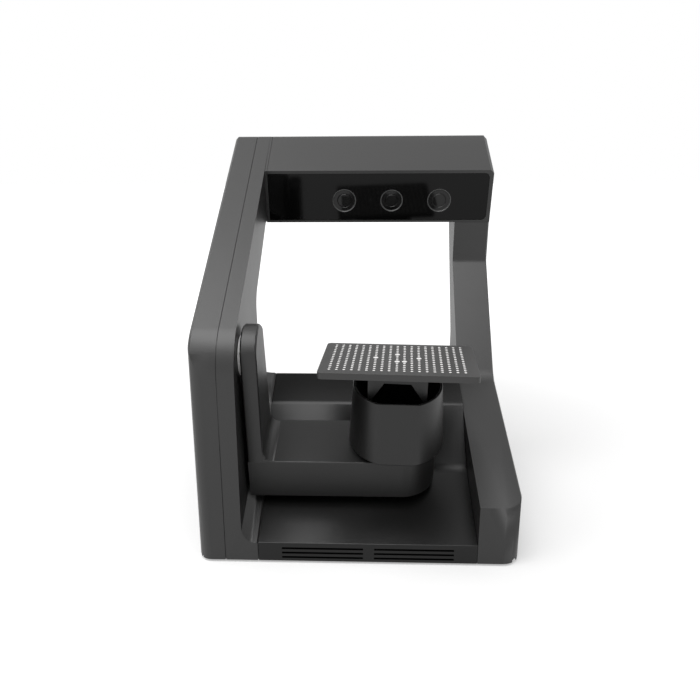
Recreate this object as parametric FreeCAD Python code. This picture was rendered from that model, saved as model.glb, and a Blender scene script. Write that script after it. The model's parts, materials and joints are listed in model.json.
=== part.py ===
import FreeCAD, Part
import math
import os

# Desktop 3D scanner: an open C-framed housing with a sensor head, a swing arm and a turntable.
# X runs to the right, Y to the rear and Z up. The origin is on the table, under the middle of
# the overall box. Profiles are written as (depth behind the front face, height above the table,
# corner radius).

Vector = FreeCAD.Vector
ORIGIN = Vector(0, 0, 0)
RIGHTWARD = Vector(1, 0, 0)
REARWARD = Vector(0, 1, 0)
UPWARD = Vector(0, 0, 1)

# Overall size
WIDTH = 260.0
DEPTH = 271.0
FOOT_HEIGHT = 2.0
LEFT = -WIDTH / 2
RIGHT = WIDTH / 2
FRONT = -132.1
BEYOND = 400.0

# Where the housing divides from left to right
SHELL_SEAM_X = -107.5
WALL_INNER_X = -94.0
HEAD_SEAM_X = -91.8
TRAY_LEFT_X = -80.8
ARM_INNER_X = 95.3
BASE_REAR = 214.0
HEAD_SPLIT = 246.0

# Moulding
WALL = 2.6
SIDE_WALL = 6.1
SEAM_WIDTH = 0.7
SEAM_DEPTH = 0.6
LEFT_CORNER = 11.0
LEFT_EDGE = 2.4
RIGHT_CORNER = 15.0
RIGHT_EDGE = 1.4
HEAD_EDGE = 3.2
FOOT_RADIUS = 11.8
FOOT_STEPS = 6
FLAT_RADIUS = 10.0
FLAT_TURN = 32.0

# Side profiles
LEFT_PROFILE = [
    (0, FOOT_HEIGHT, 0), (0, 179, 42), (262, 339.3, 6), (DEPTH, 326, 8), (DEPTH, 262, 8),
    (258, 251.5, 6), (203, 254.5, 8), (122, 194.3, 22), (127, 126, 10), (147.5, 114.2, 3),
    (BASE_REAR, 72, 6), (BASE_REAR, FOOT_HEIGHT, 0)]
TRAY_PROFILE = [
    (0, FOOT_HEIGHT, 0), (0, 17.85, 1.2), (71.5, 50.8, 22), (108.6, 98.4, 9),
    (147.5, 114.2, 3), (BASE_REAR, 72, 6), (BASE_REAR, FOOT_HEIGHT, 0)]
RIGHT_PROFILE = [
    (0, FOOT_HEIGHT, 0), (0, 51.7, 0), (149, 110.5, 28), (221, 213.5, 9), (218.2, 252.3, 0),
    (262, 252.3, 0), (262, 246, 6), (236, 187, 40), (BASE_REAR, 140, 25),
    (BASE_REAR, FOOT_HEIGHT, 0)]
HEAD_PROFILE = [
    (218.2, 252.5, 0), (205, 303.4, 0), (262, 339.3, 6), (DEPTH, 326, 8), (DEPTH, 262, 8),
    (260, 252.5, 4)]

# Base: air slots, bottom plate, feet and the opening in the back
VENT_GROUPS = ((-61.6, 3.8), (12.6, 76.5))
VENT_HEIGHTS = (13.3, 9.3, 5.3)
VENT_GAP = 1.7
PLATE_INSET = 3.0
PLATE_THICK = 2.4
PLATE_TOP = FOOT_HEIGHT + PLATE_THICK
PLATE_CORNER = 9.0
PLATE_SLOTS = 7
FOOT_INSET = (18.0, 16.0)
FOOT_DISC = 7.5
REAR_OPENING = (-50.0, 70.0, 12.0, 56.0)
PANEL_SLOTS = 5

# Electrics: middle across, middle height, width and height of what the rear panel carries
INLET = (58.0, 22.0, 12.0, 12.0)
DATA = (38.0, 20.0, 13.0, 12.0)
SWITCH = (-34.0, 30.0, 20.0, 13.0)
ROCKER_LENGTH = 16.0
ROCKER_WIDTH = 8.0
ROCKER_THROW = 16.0
BOARD_LEVEL = 9.0
BOARD_THICK = 1.6
BOARD_POSTS = ((16, 118), (84, 118), (16, 200), (84, 200))
BOARD_CHIPS = ((70, 136, 14, 14, 1.6), (70, 162, 10, 16, 1.4), (22, 150, 8, 26, 7.0),
               (22, 184, 6, 20, 6.0), (78, 184, 12, 9, 1.4))
SINK = (45.0, 150.0, 14.0)
SINK_FINS = 7
BLOWER = (-28.0, 44.0)
BLOWER_HALF = 28.0
BLOWER_HEIGHT = 15.0
BLOWER_RADIUS = 24.0
BLOWER_PIN = 1.6
BLADES = 9

# Swing arm, in its own frame: across X, back from the pivot, up from the pivot
PIVOT_DEPTH = 32.0
PIVOT_HEIGHT = 165.9
ARM_TILT = 14.0
SLAB_X0 = -90.7
SLAB_X1 = -77.9
SLAB_RADIUS = 25.0
SLAB_EDGE = 1.4
BEAM_FRONT = -28.5
BEAM_BACK = 31.0
BEAM_TOP = -84.0
BEAM_BOTTOM = -120.0
BEAM_KNEE = -8.0
BEAM_HEEL = -98.0
BEAM_END_X = 35.0
BEAM_EDGE = 1.4
ARM_FILLET = 9.0
ARM_WALL = 2.4
HUB_RADIUS = 12.0

# Pivot drive in the left wall
SHAFT_RADIUS = 5.0
BEARING_RADIUS = 9.5
RUNNING_FIT = 0.05
DRIVE_PLATE_X = -118.0
GEAR_X = -112.0
MOTOR_HALF = 17.0
MOTOR_LENGTH = 5.0
MOTOR_BORE = 2.2
COLLAR_RADIUS = 16.0

# Gears
GEAR_MODULE = 1.0
PRESSURE_ANGLE = 20.0
PIVOT_TEETH = 45
PIVOT_PINION_TEETH = 15
TABLE_TEETH = 28
TABLE_PINION_TEETH = 12
BACKLASH = 0.16
PIVOT_CENTRES = GEAR_MODULE * (PIVOT_TEETH + PIVOT_PINION_TEETH) / 2
TABLE_CENTRES = GEAR_MODULE * (TABLE_TEETH + TABLE_PINION_TEETH) / 2

# Turntable and cup, in the arm's frame
TABLE_X = 31.0
TABLE_TURN = -2.0
TABLE_SHAFT = 4.0
TABLE_BEARING_RADIUS = 8.0
TABLE_GEAR_LOW = -102.8
CUP_RIM = -24.7
CUP_BASE = -80.4
CUP_RIM_RADIUS = 35.8
CUP_BASE_RADIUS = 39.3
CUP_RIM_FLAT = 32.0
CUP_BASE_FLAT = 36.8
CUP_WALL = 2.0
CUP_FLOOR = 3.0
CUP_EDGE = 1.2
CUP_SIDES = 48

# Calibration board and its bracket
BOARD_SIZE = (121.0, 77.0, 5.0)
BOARD_CORNER = 3.5
BOARD_DEPTH = 35.5
BOARD_HEIGHT = 160.2
BOARD_PITCH = 1.7
BOARD_TURN = -3.9
BRACKET_HALF = 23.0
BRACKET_THICK = 1.6
BRACKET_REACH = 21.0
BRACKET_FLANGE = 22.0
BRACKET_LOW = CUP_BASE + CUP_FLOOR
BRACKET_HOLE = ((-20, BRACKET_LOW + 6), (-20, -28.2), (-10.4, -12.7), (10.4, -12.7),
                (20, -28.2), (20, BRACKET_LOW + 6))

# Head window and lenses, in their own frame: across X, into the head, up along the glass
WINDOW_TILT = 14.5
WINDOW_DEPTH = 211.6
WINDOW_HEIGHT = 277.95
WINDOW_TOP = 23.4
WINDOW_BOTTOM = -24.1
WINDOW_RIGHT_X = 126.2
WINDOW_CORNER = 5.0
WINDOW_THICK = 2.0
LENS_XS = (-16.0, 31.2, 78.4)
LENS_DROP = -4.2
RING_RADII = (11.4, 10.8, 11.4)
RING_SIDES = 20
INNER_SIDES = 16
BENCH = (12.0, 14.4)
BENCH_WINDOWS = (-71.0, 7.0, 55.0, 107.0)
HEAD_SLOTS = 9
PROJECTOR_FINS = 7

parts = {}


# Profiles and prisms

def corner(before, point, after, radius):
    """Tangent points and middle of the arc that rounds one corner."""
    to_before = (before - point).normalize()
    to_after = (after - point).normalize()
    half = to_before.getAngle(to_after) / 2
    run = radius / math.tan(half)
    middle = (to_before + to_after).normalize()
    reach = radius / math.sin(half) - radius
    return point + to_before * run, point + middle * reach, point + to_after * run


def rounding(start, middle, end):
    """Edges of one rounded corner: an arc where it is wide, short flats where it is small."""
    arc = Part.Arc(start, middle, end).toShape()
    radius = arc.Curve.Radius
    if radius > FLAT_RADIUS:
        return [arc]
    steps = max(1, math.ceil(math.degrees(arc.Length / radius) / FLAT_TURN))
    points = arc.discretize(Number=steps + 1)
    return [Part.LineSegment(*pair).toShape() for pair in zip(points, points[1:])]


def rounded_face(points):
    """A face across X from corner points (depth, height, radius), each corner rounded."""
    corners = [Vector(0, FRONT + depth, height) for depth, height, _ in points]
    count = len(points)
    spans = []
    for index, (_, _, radius) in enumerate(points):
        here = corners[index]
        if radius > 0:
            spans.append(corner(corners[index - 1], here, corners[(index + 1) % count], radius))
        else:
            spans.append((here, None, here))
    edges = []
    for index, (start, middle, end) in enumerate(spans):
        if middle is not None:
            edges += rounding(start, middle, end)
        following = spans[(index + 1) % count][0]
        if end.distanceToPoint(following) > 1e-6:
            edges.append(Part.LineSegment(end, following).toShape())
    return Part.Face(Part.Wire(edges))


def polygon_face(corners):
    return Part.Face(Part.makePolygon(corners + corners[:1]))


def prism(face, x0, x1):
    """The face's outline, taken from x0 to x1."""
    moved = face.copy()
    moved.translate(Vector(x0 - face.BoundBox.XMin, 0, 0))
    return moved.extrude(Vector(x1 - x0, 0, 0))


def inset(face, distance):
    """The face drawn in by a distance all round."""
    return face.makeOffset2D(-distance, 2, False, False, False)


def hollow(points, x0, x1, wall=WALL):
    """The room inside a moulding's wall; only the wide bends are rounded."""
    plain = [(depth, height, radius if radius > 12 else 0) for depth, height, radius in points]
    return prism(inset(rounded_face(plain), wall), x0, x1)


def seamed(points, x0, x1, seam_low, seam_high):
    """A prism with a shallow rebate at the ends that meet another moulding."""
    face = rounded_face(points)
    small = inset(face, SEAM_DEPTH)
    low = x0 + (SEAM_WIDTH / 2 if seam_low else 0)
    high = x1 - (SEAM_WIDTH / 2 if seam_high else 0)
    solid = prism(face, low, high)
    if seam_low:
        solid = solid.fuse(prism(small, x0, low))
    if seam_high:
        solid = solid.fuse(prism(small, high, x1))
    return solid.removeSplitter()


# Blocks

def box(x0, x1, y0, y1, z0, z1):
    return Part.makeBox(x1 - x0, y1 - y0, z1 - z0, Vector(x0, y0, z0))


def depth_box(x0, x1, d0, d1, z0, z1):
    """A box whose Y limits are depths behind the front face."""
    return box(x0, x1, FRONT + d0, FRONT + d1, z0, z1)


def rounded_box(x0, x1, y0, y1, z0, z1, radius):
    """A box with its four upright edges rounded."""
    solid = box(x0, x1, y0, y1, z0, z1)
    upright = [edge for edge in solid.Edges
               if abs(abs(edge.tangentAt(edge.FirstParameter).z) - 1) < 1e-6]
    return solid.makeFillet(radius, upright)


def cylinder(radius, length, base, axis=UPWARD):
    return Part.makeCylinder(radius, length, base, axis)


def ring_corners(radius, height, sides):
    """Corners of a regular polygon about Z."""
    corners = []
    for index in range(sides):
        angle = 2 * math.pi * (index + 0.5) / sides
        corners.append(Vector(radius * math.cos(angle), radius * math.sin(angle), height))
    return corners


def faceted(radius, length, base, axis=UPWARD, sides=INNER_SIDES):
    """A round peg with flat sides, for small pieces inside."""
    face = polygon_face(ring_corners(radius, 0, sides))
    if axis.z < 0.5:
        face.rotate(ORIGIN, UPWARD.cross(axis), 90)
    face.translate(base)
    return face.extrude(axis * length)


def tapered(low_radius, high_radius, length, sides):
    """A round block about Z that tapers, with flat sides."""
    low = ring_corners(low_radius, 0, sides)
    high = ring_corners(high_radius, length, sides)
    faces = [polygon_face(low), polygon_face(high)]
    for index in range(sides):
        after = (index + 1) % sides
        faces.append(polygon_face([low[index], low[after], high[after], high[index]]))
    solid = Part.Solid(Part.Shell(faces))
    if solid.Volume < 0:
        solid.reverse()
    return solid


def picked(shape, test):
    """The shape's edges whose middle point passes a test."""
    chosen = []
    for edge in shape.Edges:
        middle = edge.valueAt((edge.FirstParameter + edge.LastParameter) / 2)
        if test(edge, middle):
            chosen.append(edge)
    return chosen


def one_solid(shape):
    """The largest solid of a shape, with coplanar faces joined."""
    solid = max(shape.Solids, key=lambda item: item.Volume)
    return solid.removeSplitter()


# Frames of the arm, the turntable, the board and the window

def arm_place(shape):
    placed = shape.copy()
    placed.rotate(ORIGIN, RIGHTWARD, ARM_TILT)
    placed.translate(Vector(0, FRONT + PIVOT_DEPTH, PIVOT_HEIGHT))
    return placed


def table_place(shape, turn):
    turned = shape.copy()
    turned.rotate(Vector(TABLE_X, 0, 0), UPWARD, turn)
    return arm_place(turned)


def board_place(shape):
    """Put a shape made about the board's middle at the board's place and slope."""
    placed = shape.copy()
    placed.rotate(ORIGIN, RIGHTWARD, BOARD_PITCH)
    placed.rotate(ORIGIN, UPWARD, BOARD_TURN)
    placed.translate(Vector(TABLE_X, FRONT + BOARD_DEPTH, BOARD_HEIGHT))
    return placed


def window_place(shape):
    placed = shape.copy()
    placed.rotate(ORIGIN, RIGHTWARD, WINDOW_TILT)
    placed.translate(Vector(0, FRONT + WINDOW_DEPTH, WINDOW_HEIGHT))
    return placed


# Gears

def involute(base_radius, radius):
    """Polar angle of an involute where it crosses a radius."""
    if radius <= base_radius:
        return 0.0
    roll = math.sqrt((radius / base_radius) ** 2 - 1)
    return roll - math.atan(roll)


def spur_gear(teeth, width, bore, phase=0.0):
    """A spur gear about Z, one tooth centred on the phase angle, with straight flanks that
    join the involute's points at root and tip."""
    pitch = GEAR_MODULE * teeth / 2
    base_radius = pitch * math.cos(math.radians(PRESSURE_ANGLE))
    radii = (pitch - 1.25 * GEAR_MODULE, pitch + GEAR_MODULE)
    half_tooth = math.pi / (2 * teeth) - BACKLASH / (2 * pitch)
    at_pitch = involute(base_radius, pitch)
    flank = [(r, half_tooth + at_pitch - involute(base_radius, r)) for r in radii]
    corners = []
    for tooth in range(teeth):
        centre = phase + 2 * math.pi * tooth / teeth
        turned = [(r, centre - angle) for r, angle in flank]
        turned += [(r, centre + angle) for r, angle in reversed(flank)]
        corners += [Vector(r * math.cos(angle), r * math.sin(angle), 0) for r, angle in turned]
    gear = polygon_face(corners).extrude(Vector(0, 0, width))
    return gear.cut(faceted(bore, width + 2, Vector(0, 0, -1)))


def gap_phase(teeth, direction):
    """Phase that puts the middle of a tooth gap at a direction."""
    return direction + math.pi / teeth


def along_x(shape, x):
    """Turn a part made about Z so that it lies about X, starting at x."""
    turned = shape.copy()
    turned.rotate(ORIGIN, REARWARD, 90)
    turned.translate(Vector(x, 0, 0))
    return turned


# Base

def base_plate():
    """Bottom plate with standoffs for the circuit board, and air slots."""
    plate = rounded_box(LEFT + PLATE_INSET, RIGHT - PLATE_INSET, FRONT + PLATE_INSET,
                        FRONT + BASE_REAR - PLATE_INSET, FOOT_HEIGHT, PLATE_TOP, PLATE_CORNER)
    for x, depth in BOARD_POSTS:
        foot = Vector(x, FRONT + depth, PLATE_TOP)
        plate = plate.fuse(faceted(3, BOARD_LEVEL - PLATE_TOP, foot, sides=6))
    for index in range(PLATE_SLOTS):
        plate = plate.cut(depth_box(-50, -6, 112 + 9 * index, 116 + 9 * index, 0, PLATE_TOP + 1))
    return plate


def rubber_feet():
    feet = []
    for x in (LEFT + FOOT_INSET[0], RIGHT - FOOT_INSET[0]):
        for depth in (FOOT_INSET[1], BASE_REAR - FOOT_INSET[1]):
            feet.append(faceted(FOOT_DISC, FOOT_HEIGHT, Vector(x, FRONT + depth, 0)))
    return Part.makeCompound(feet)


def plate_room():
    """The bottom plate's space, with a little clearance."""
    gap = 0.2
    edge = PLATE_INSET - gap
    return depth_box(LEFT + edge, RIGHT - edge, edge, BASE_REAR - edge, -1, PLATE_TOP + gap)


def base_tray():
    """Floor between the two arms: front strip with air slots, ramp, ridge and rear deck."""
    tray = seamed(TRAY_PROFILE, TRAY_LEFT_X, ARM_INNER_X, True, True)
    tray = tray.cut(hollow(TRAY_PROFILE, TRAY_LEFT_X - 1, ARM_INNER_X + 1))
    tray = tray.cut(depth_box(LEFT, RIGHT, WALL, BASE_REAR - WALL, -1, FOOT_HEIGHT + 4))
    for x0, x1 in VENT_GROUPS:
        for height in VENT_HEIGHTS:
            tray = tray.cut(depth_box(x0, x1, -2, WALL + 2, height - VENT_GAP / 2,
                                      height + VENT_GAP / 2))
    x0, x1, z0, z1 = REAR_OPENING
    return one_solid(tray.cut(depth_box(x0, x1, BASE_REAR - 6, BASE_REAR + 2, z0, z1)))


def rear_panel():
    """Plate in the back of the tray, with openings for the inlet, data socket and switch."""
    x0, x1, z0, z1 = REAR_OPENING
    inside = BASE_REAR - WALL
    plate = depth_box(x0, x1, inside, BASE_REAR - 0.6, z0, z1)
    panel = plate.fuse(depth_box(x0 - 4, x1 + 4, inside - 2, inside, z0 - 3, z1 + 4))
    for x, z, wide, high in (INLET, DATA, SWITCH):
        panel = panel.cut(depth_box(x - wide / 2, x + wide / 2, BASE_REAR - 8, BASE_REAR + 2,
                                    z - high / 2, z + high / 2))
    for row in range(PANEL_SLOTS):
        panel = panel.cut(depth_box(-8, 18, BASE_REAR - 8, BASE_REAR + 2, 22 + 6 * row,
                                    25 + 6 * row))
    return panel


# Electrics

def power_inlet():
    """Round low-voltage inlet: block, bore and contact pin."""
    x, z, wide, high = INLET
    shell = depth_box(x - wide / 2, x + wide / 2, BASE_REAR - 14, BASE_REAR - 0.2,
                      z - high / 2, z + high / 2)
    mouth = Vector(x, FRONT + BASE_REAR - 11, z)
    shell = shell.cut(faceted(3.6, 11, mouth, REARWARD))
    return shell.fuse(faceted(1.0, 10, mouth - REARWARD * 0.5, REARWARD, 8))


def data_socket():
    """Square data socket with its contact tongue."""
    x, z, wide, high = DATA
    shell = depth_box(x - wide / 2, x + wide / 2, BASE_REAR - 16, BASE_REAR - 0.2,
                      z - high / 2, z + high / 2)
    shell = shell.cut(depth_box(x - 4.4, x + 4.4, BASE_REAR - 12, BASE_REAR + 1, z - 4, z + 4))
    return shell.fuse(depth_box(x - 2.6, x + 2.6, BASE_REAR - 13, BASE_REAR - 2,
                                z - 1.4, z + 1.8))


def switch_frame():
    """Switch body with a rim outside the panel and a well for the rocker."""
    x, z, wide, high = SWITCH
    shell = depth_box(x - wide / 2, x + wide / 2, BASE_REAR - 16, BASE_REAR - 0.6,
                      z - high / 2, z + high / 2)
    rim = depth_box(x - wide / 2 - 1.5, x + wide / 2 + 1.5, BASE_REAR - 0.6, BASE_REAR + 0.8,
                    z - high / 2 - 1.5, z + high / 2 + 1.5)
    half = ROCKER_LENGTH / 2 + 0.5
    well = depth_box(x - half, x + half, BASE_REAR - 10, BASE_REAR + 2,
                     z - ROCKER_WIDTH / 2 - 0.5, z + ROCKER_WIDTH / 2 + 0.5)
    return shell.fuse(rim).cut(well)


def power_rocker():
    """Rocker seen from the back, tipped half its throw to the off side, on its pin."""
    x, z, _, _ = SWITCH
    half = ROCKER_LENGTH / 2
    rise = math.tan(math.radians(ROCKER_THROW / 2)) * half
    low = -ROCKER_WIDTH / 2
    outline = [Vector(-half, 1.6 + rise, low), Vector(0, 1.6, low), Vector(half, 1.6 + rise, low),
               Vector(half - 0.6, -1.2, low), Vector(0.6 - half, -1.2, low)]
    body = polygon_face(outline).extrude(Vector(0, 0, ROCKER_WIDTH))
    body = body.fuse(faceted(1.0, ROCKER_WIDTH + 0.8, Vector(0, 0, low - 0.4), sides=8))
    body.rotate(ORIGIN, UPWARD, -ROCKER_THROW / 2)
    body.translate(Vector(x, FRONT + BASE_REAR - 3.2, z))
    return body


def main_board():
    """Circuit board with its chips and connector blocks."""
    top = BOARD_LEVEL + BOARD_THICK
    board = depth_box(10, 90, 112, 206, BOARD_LEVEL, top)
    for x, depth, wide, long, high in BOARD_CHIPS:
        board = board.fuse(depth_box(x - wide / 2, x + wide / 2, depth - long / 2,
                                     depth + long / 2, top, top + high))
    return board


def heat_sink():
    """Finned block on the board's processor."""
    x, depth, half = SINK
    top = BOARD_LEVEL + BOARD_THICK
    sink = depth_box(x - half, x + half, depth - half, depth + half, top, top + 3)
    for index in range(SINK_FINS):
        left = x - half + index * (2 * half - 1) / (SINK_FINS - 1)
        sink = sink.fuse(depth_box(left, left + 1, depth - half, depth + half, top + 3, top + 12))
    return sink


def blower_housing():
    """Flat blower behind the air slots: volute with a round inlet on top and a front outlet."""
    x, depth = BLOWER
    base = PLATE_TOP
    centre = Vector(x, FRONT + depth, base)
    outer = depth_box(x - BLOWER_HALF, x + BLOWER_HALF, depth - BLOWER_HALF,
                      depth + BLOWER_HALF, base, base + BLOWER_HEIGHT)
    room = faceted(BLOWER_RADIUS + 1.5, BLOWER_HEIGHT - 3, centre + UPWARD * 1.5, sides=20)
    inlet = faceted(16, 10, centre + UPWARD * 10, sides=20)
    outlet = depth_box(x - 25.5, x + 4, depth - BLOWER_HALF - 2, depth, base + 1.5,
                       base + BLOWER_HEIGHT - 1.5)
    outer = outer.cut(room).cut(inlet).cut(outlet)
    return one_solid(outer.fuse(cylinder(BLOWER_PIN, 6, centre + UPWARD)))


def blower_rotor():
    """Radial rotor: hub cup on the pin with blades on a disc."""
    x, depth = BLOWER
    rotor = faceted(BLOWER_RADIUS - 1, 1.0, ORIGIN, sides=20)
    rotor = rotor.fuse(faceted(11, 8.6, ORIGIN))
    for index in range(BLADES):
        blade = box(14, BLOWER_RADIUS - 1.6, -0.4, 0.4, 0.5, 9)
        blade.rotate(Vector(18, 0, 0), UPWARD, 28)
        blade.rotate(ORIGIN, UPWARD, 360 / BLADES * index)
        rotor = rotor.fuse(blade)
    rotor = rotor.cut(cylinder(BLOWER_PIN + 0.06, 30, Vector(0, 0, -5)))
    rotor.translate(Vector(x, FRONT + depth, PLATE_TOP + 2.4))
    return rotor


# Housing

def left_outer_shell():
    """Outer half of the left wall, open towards the seam."""
    solid = seamed(LEFT_PROFILE, LEFT, SHELL_SEAM_X, False, True)
    rim = picked(solid, lambda edge, middle: abs(middle.x - LEFT) < 0.01)
    solid = solid.makeChamfer(LEFT_EDGE, rim)
    plan = depth_box(LEFT, 0, 0, BEYOND, -10, BEYOND)
    upright = picked(plan, lambda edge, middle: abs(middle.x - LEFT) < 0.01
                     and abs(middle.y - FRONT) < 0.01 and edge.Length > 300)
    solid = solid.common(plan.makeFillet(LEFT_CORNER, upright))
    cavity = hollow(LEFT_PROFILE, LEFT + SIDE_WALL, SHELL_SEAM_X + 1)
    return one_solid(solid.cut(cavity).cut(plate_room()))


def left_inner_shell():
    """Inner half of the left wall with its rounded foot, open towards the seam."""
    wall = seamed(LEFT_PROFILE, SHELL_SEAM_X, WALL_INNER_X, True, False)
    foot = seamed(TRAY_PROFILE, SHELL_SEAM_X + 3, TRAY_LEFT_X, False, True)
    tip = prism(rounded_face(HEAD_PROFILE), WALL_INNER_X - 1, HEAD_SEAM_X)
    solid = wall.fuse(foot).fuse(tip).fuse(foot_fillet())
    cavity = hollow(LEFT_PROFILE, SHELL_SEAM_X - 1, WALL_INNER_X - WALL)
    under = hollow(TRAY_PROFILE, WALL_INNER_X - WALL - 1, TRAY_LEFT_X + 1)
    solid = solid.cut(cavity).cut(under).cut(plate_room())
    boss = faceted(BEARING_RADIUS + 4.5, 6, Vector(WALL_INNER_X - 8, 0, 0), RIGHTWARD)
    solid = solid.fuse(arm_place(boss))
    bore = faceted(BEARING_RADIUS, 20, Vector(WALL_INNER_X - 12, 0, 0), RIGHTWARD)
    return one_solid(solid.cut(arm_place(bore)))


def foot_fillet():
    """Concave strip between the wall and the floor, kept to the open side of the wall."""
    strip = None
    knees = [(depth, height) for depth, height, _ in TRAY_PROFILE[1:5]]
    for (d0, h0), (d1, h1) in zip(knees, knees[1:]):
        low = Part.makePolygon(fillet_corners(d0, h0))
        high = Part.makePolygon(fillet_corners(d1, h1))
        piece = Part.makeLoft([low, high], True, True)
        strip = piece if strip is None else strip.fuse(piece)
    room = prism(rounded_face(LEFT_PROFILE), WALL_INNER_X - 2, WALL_INNER_X + FOOT_RADIUS + 2)
    return strip.common(room)


def fillet_corners(depth, height):
    """Section of the foot's fillet at one depth: two straight sides and a hollow curve."""
    y = FRONT + depth
    corners = [Vector(WALL_INNER_X - 1, y, height - 3),
               Vector(WALL_INNER_X - 1, y, height + FOOT_RADIUS)]
    for index in range(FOOT_STEPS + 1):
        angle = math.pi + math.pi / 2 * index / FOOT_STEPS
        corners.append(Vector(WALL_INNER_X + FOOT_RADIUS + FOOT_RADIUS * math.cos(angle), y,
                              height + FOOT_RADIUS + FOOT_RADIUS * math.sin(angle)))
    corners.append(Vector(WALL_INNER_X + FOOT_RADIUS, y, height - 3))
    return corners + corners[:1]


def right_arm_shell():
    """Low right arm and the column that carries the head."""
    solid = right_rounding(prism(rounded_face(RIGHT_PROFILE), ARM_INNER_X, RIGHT),
                           RIGHT_CORNER, RIGHT_EDGE)
    cavity = right_rounding(hollow(RIGHT_PROFILE, ARM_INNER_X + WALL, RIGHT - WALL),
                            RIGHT_CORNER - WALL, 0)
    passage = hollow(TRAY_PROFILE, ARM_INNER_X - 1, ARM_INNER_X + WALL + 1, WALL + 6)
    return one_solid(solid.cut(cavity).cut(plate_room()).cut(passage))


def right_rounding(solid, front_radius, edge_radius):
    """Break the outer edges a little, then round the front upright corner widely."""
    limits = solid.BoundBox
    outer = limits.XMax
    if edge_radius:
        rim = picked(solid, lambda edge, middle: abs(middle.x - outer) < 0.01
                     and middle.z < RIGHT_PROFILE[4][1] - 0.3)
        solid = solid.makeChamfer(edge_radius, rim)
    plan = box(limits.XMin - 10, outer, limits.YMin, limits.YMax + 10, -10, BEYOND)
    upright = picked(plan, lambda edge, middle: abs(middle.x - outer) < 0.01
                     and abs(middle.y - limits.YMin) < 0.01 and edge.Length > 300)
    return one_solid(solid.common(plan.makeFillet(front_radius, upright)))


def head_shell():
    """The head, hollow, with its window opening, before it is split."""
    solid = seamed(HEAD_PROFILE, HEAD_SEAM_X, RIGHT, True, False)
    upper = picked(solid, lambda edge, middle: abs(middle.x - RIGHT) < 0.01
                   and middle.z > HEAD_PROFILE[1][1] + 0.2)
    solid = solid.makeChamfer(HEAD_EDGE, upper)
    cavity = hollow(HEAD_PROFILE, HEAD_SEAM_X - 1, RIGHT - WALL)
    return solid.cut(cavity).cut(window_place(window_blank(0.0, -3, 8)))


def head_front_cover():
    behind = depth_box(LEFT - 10, RIGHT + 10, HEAD_SPLIT, BEYOND, 0, BEYOND)
    return one_solid(head_shell().cut(behind))


def head_rear_cover():
    """Rear cover of the head, with a row of air slots."""
    behind = depth_box(LEFT - 10, RIGHT + 10, HEAD_SPLIT, BEYOND, 0, BEYOND)
    cover = one_solid(head_shell().common(behind))
    for index in range(HEAD_SLOTS):
        cover = cover.cut(depth_box(-20 + 12 * index, -16 + 12 * index, DEPTH - 8, DEPTH + 2,
                                    285, 312))
    return cover


# Window, lenses and what stands behind them

def window_blank(gap, w0, w1):
    """The window's outline with its right corners rounded, between two depths."""
    right = WINDOW_RIGHT_X - gap
    blank = box(HEAD_SEAM_X - 2 + gap, right, w0, w1, WINDOW_BOTTOM + gap, WINDOW_TOP - gap)
    corners = picked(blank, lambda edge, middle: abs(middle.x - right) < 0.01
                     and abs(middle.y - (w0 + w1) / 2) < 0.01)
    return blank.makeFillet(WINDOW_CORNER, corners)


def window_panel():
    """Dark glass with three round ports."""
    panel = window_blank(0.1, 0.8, 0.8 + WINDOW_THICK)
    panel = panel.common(box(HEAD_SEAM_X + 0.1, RIGHT, 0, 10, -40, 40))
    for x, radius in zip(LENS_XS, RING_RADII):
        panel = panel.cut(lens_block(x, -2, radius, 8, radius, RING_SIDES))
    return window_place(panel)


def lens_block(x, w0, radius0, w1, radius1, sides=INNER_SIDES):
    """A round block along a lens axis between two distances into the head."""
    block = tapered(radius0, radius1, w1 - w0, sides)
    block.rotate(ORIGIN, RIGHTWARD, -90)
    block.translate(Vector(x, w0, LENS_DROP))
    return block


def lens_rings():
    """Rings with a tapered mouth that line the window's three ports."""
    rings = []
    for x, radius in zip(LENS_XS, RING_RADII):
        ring = lens_block(x, 0.5, radius - 0.05, 3.4, radius - 0.05, RING_SIDES)
        ring = ring.cut(lens_block(x, 0.5, radius - 0.5, 1.6, radius - 1.6, RING_SIDES))
        rings.append(ring.cut(lens_block(x, 1.5, radius - 1.6, 4, radius - 1.6, RING_SIDES)))
    return window_place(Part.makeCompound(rings))


def lens_barrel(x, radius):
    """Lens barrel with a stepped mouth in front of the glass."""
    barrel = lens_block(x, 3.4, radius - 0.05, 12.0, radius - 0.05)
    barrel = barrel.fuse(lens_block(x, 12.0, radius - 2.5, 15.6, radius - 2.5))
    barrel = barrel.cut(lens_block(x, 3.0, 9.0, 6.0, 7.4))
    return window_place(barrel.cut(lens_block(x, 6.0, 6.4, 16.0, 6.4)))


def lens_glass(x):
    """Front element: a shallow dome on a short drum."""
    dome = lens_block(x, 9.6, 3.6, 10.6, 6.2)
    return window_place(dome.fuse(lens_block(x, 10.6, 6.2, 13.6, 6.2)))


def optical_bench():
    """Plate across the head that carries both cameras and the projector."""
    w0, w1 = BENCH
    plate = box(HEAD_SEAM_X, RIGHT - WALL, w0, w1, -22.5, 20)
    for x, radius in zip(LENS_XS, RING_RADII):
        plate = plate.cut(lens_block(x, w0 - 3, radius - 2.5, w1 + 3, radius - 2.5))
    for x in BENCH_WINDOWS:
        plate = plate.cut(box(x - 8, x + 8, w0 - 2, w1 + 2, -14, 12))
    return window_place(plate)


def lens_seat(x, back, bore):
    """Flanged seat that joins a camera or projector to the bench."""
    seat = lens_block(x, BENCH[1], 11, back, 11)
    return seat.cut(lens_block(x, BENCH[1] - 1, bore, back + 2, bore))


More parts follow.
